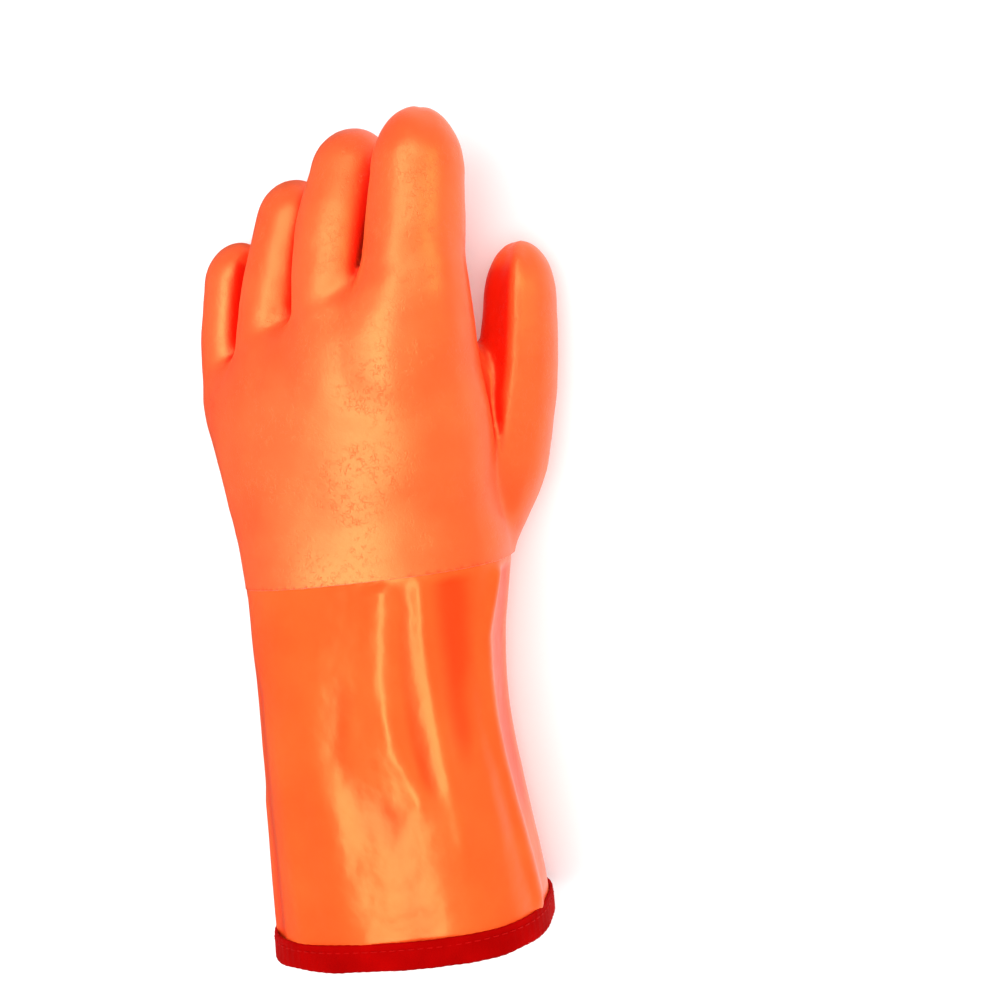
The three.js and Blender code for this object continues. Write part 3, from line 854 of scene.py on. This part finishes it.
def stitches(material):
    """One row of lockstitches round the tape, each a thin capsule bent over the tape's
    outside: a short line along the row, carried as a tube that narrows at its two ends."""
    turn = np.linspace(0, -2 * math.pi, 4000, endpoint=False)
    row = body_rings([-1 + STITCH_INSET / GAUNTLET_LENGTH], turn, STACK + 0.10, folds=False)[0]
    row[:, 2] = np.maximum(row[:, 2], 0.25)
    run = np.r_[0, np.cumsum(np.linalg.norm(np.diff(row, axis=0), axis=1))]
    count = int(run[-1] // (STITCH_LENGTH + STITCH_GAP))
    starts = np.arange(count) * run[-1] / count
    t = np.linspace(0, 1, 7)
    sides = 8
    around = np.linspace(0, 2 * math.pi, sides, endpoint=False)
    s = starts[:, None] + t * STITCH_LENGTH
    line = np.stack([np.interp(s, run, row[:, i]) for i in range(3)], -1)
    middle = row.mean(0)
    along = np.gradient(line, axis=1)
    along /= np.linalg.norm(along, axis=-1, keepdims=True)
    out = line - middle
    out[..., 1] = 0
    out /= np.linalg.norm(out, axis=-1, keepdims=True)
    side = np.cross(along, out)
    sink = (2 * t - 1) ** 4 * 0.22
    line = line - out * sink[None, :, None]
    size = STITCH_RADIUS * np.sqrt(np.clip(1.02 - (2 * t - 1) ** 6, 0.02, 1))
    ring = (line[:, :, None] + size[None, :, None, None]
            * (np.cos(around)[None, None, :, None] * out[:, :, None]
               + np.sin(around)[None, None, :, None] * side[:, :, None]))
    corners = ring.reshape(-1, 3)
    corners[:, 2] = np.maximum(corners[:, 2], 0)
    tube = grid_faces(len(t), sides)[:(len(t) - 1) * sides]
    caps = np.array([[7, 6, 5, 4], [7, 4, 3, 0], [3, 2, 1, 0]])
    far = caps[:, ::-1] + (len(t) - 1) * sides
    one = np.vstack([tube, caps, far])
    faces = (one[None] + (np.arange(count) * len(t) * sides)[:, None, None]).reshape(-1, 4)
    piece = make_piece("tape_stitches", corners, faces, [material])
    return piece


lining = lining_material()
coated_hand = hand(hand_coat_material(), lining)
gauntlet = sleeve(sleeve_coat_material(), lining)
binding(tape_material())
stitches(thread_material())


def floor():
    """A plain pale board, far wider than the view, faintly lit through from below. Its left
    half is a painted dark reflection: the coat mirrors it as dark, as if a black flag stood there."""
    material, tree, shader, where = new_material("pale_board")
    mirrored = add(tree, "ShaderNodeLightPath").outputs["Is Glossy Ray"]
    split = add(tree, "ShaderNodeSeparateXYZ", {"Vector": where})
    left = remap(tree, split.outputs["X"], 0.03, -0.03, 0.0, 1.0)
    # A painted dark reflection: the board's left half is dark only where the coat mirrors it
    painted_dark_reflection = combine(tree, "MULTIPLY", mirrored, left)
    feed(tree, shader, {"Base Color": tint(tree, linear("#f6f6f6"), "#505050", painted_dark_reflection), "Roughness": 0.7,
                        "Emission Strength": remap(tree, painted_dark_reflection, 0.0, 1.0, 0.14, 0.0),
                        "Emission Color": linear("#ffffff")})
    mesh = bpy.data.meshes.new("floor")
    mesh.from_pydata([(-4, -4, 0), (4, -4, 0), (4, 4, 0), (-4, 4, 0)], [], [(0, 1, 2, 3)])
    mesh.materials.append(material)
    board = bpy.data.objects.new("floor", mesh)
    board.location.z = -0.0002
    bpy.context.collection.objects.link(board)


def light(name, place, aim, along, size, watts, colour="#ffffff", only=None, mirrored=True):
    """A rectangular lamp at a place, turned to face an aim point, its first side as near as
    can be to the direction along; sizes in metres. With a piece in only, it is just a light
    mirrored in that piece; with mirrored off, it lights everything but isn't mirrored."""
    data = bpy.data.lights.new(name, "AREA")
    data.shape = "RECTANGLE"
    data.size, data.size_y = size
    data.energy = watts
    data.color = linear(colour)[:3]
    lamp = bpy.data.objects.new(name, data)
    back = (Vector(place) - Vector(aim)).normalized()
    side = (Vector(along) - back * back.dot(Vector(along))).normalized()
    turn = Matrix((side, back.cross(side), back)).transposed().to_4x4()
    lamp.matrix_world = Matrix.Translation(place) @ turn
    lamp.visible_glossy = mirrored
    if only:
        lamp.visible_diffuse = False
        lit = bpy.data.collections.new(name)
        lit.objects.link(only)
        lamp.light_linking.receiver_collection = lit
    bpy.context.collection.objects.link(lamp)


def camera():
    """The photograph's view: almost straight down on the back of the glove, 12 degrees to
    the thumb's side and 4 towards the fingers, turned 8 degrees in the picture."""
    t, p, a = (math.radians(d) for d in (12, 4, 8))
    back = Vector((math.sin(t) * math.cos(p), math.sin(p), math.cos(t) * math.cos(p)))
    up0 = (Vector((0, 1, 0)) - back * back.y).normalized()
    right0 = up0.cross(back)
    right = right0 * math.cos(a) - up0 * math.sin(a)
    up = right0 * math.sin(a) + up0 * math.cos(a)
    # Solved from the photo's outline: this point of the glove is seen at this pixel of a
    # picture 1000 pixels wide, from this far, with a focal length in picture widths
    point = Vector((-5.46, -15.27, 36.2)) * MM
    pixel_x, pixel_y, picture_middle = 381, 578, 500
    pixels_per_metre = 2693.0
    distance = 0.5755
    focal_widths = 1.5498
    aim = (point - right * ((pixel_x - picture_middle) / pixels_per_metre)
           - up * ((picture_middle - pixel_y) / pixels_per_metre))
    data = bpy.data.cameras.new("camera")
    data.sensor_width = 36
    data.lens = 36 * focal_widths
    made = bpy.data.objects.new("camera", data)
    turn = Matrix((right, up, back)).transposed().to_4x4()
    made.matrix_world = Matrix.Translation(aim + back * distance) @ turn
    bpy.context.collection.objects.link(made)
    bpy.context.scene.camera = made


camera()
floor()
over_sleeve = (-0.01, -0.08, 0.06)
over_hand = (-0.01, 0.03, 0.06)
over_fingers = (0.0, 0.10, 0.05)
across, along = (1, 0, 0), (0, 1, 0)

# A soft key and two fills, which the coats don't mirror
light("key", (0.0, 0.05, 1.0), over_hand, along, (0.9, 0.9), 9.0, mirrored=False)
light("left_fill", (-0.80, 0.0, 0.42), over_hand, along, (0.9, 0.6), 2.6, mirrored=False)
light("right_fill", (0.80, 0.0, 0.42), over_hand, along, (0.9, 0.6), 3.2, "#ffeef0", mirrored=False)

# Lights that one piece mirrors, where the photo has its bright patches: along the sleeve,
# on the back of the hand, on the fingers and on the sides of the digits
light("sleeve_strip", (-0.10, -0.08, 0.80), over_sleeve, along, (0.80, 0.17), 5.6, only=gauntlet)
light("hand_box", (-0.40, 0.06, 0.75), over_hand, along, (0.70, 0.50), 9.6, only=coated_hand)
light("finger_box", (0.05, 0.60, 0.72), over_fingers, across, (1.00, 0.34), 8.0, only=coated_hand)
light("finger_side", (0.85, 0.46, 0.62), over_fingers, along, (0.35, 0.35), 4.4, "#ffe2b0",
      only=coated_hand)

# A white room, mirrored in the coats as a darker one
world = bpy.data.worlds.new("studio")
world.use_nodes = True
seen = add(world.node_tree, "ShaderNodeLightPath").outputs["Is Glossy Ray"]
feed(world.node_tree, world.node_tree.nodes["Background"],
     {"Color": linear("#ffffff"), "Strength": remap(world.node_tree, seen, 0.0, 1.0, 0.50, 0.14)})
bpy.context.scene.world = world
bpy.context.scene.view_settings.view_transform = "Standard"
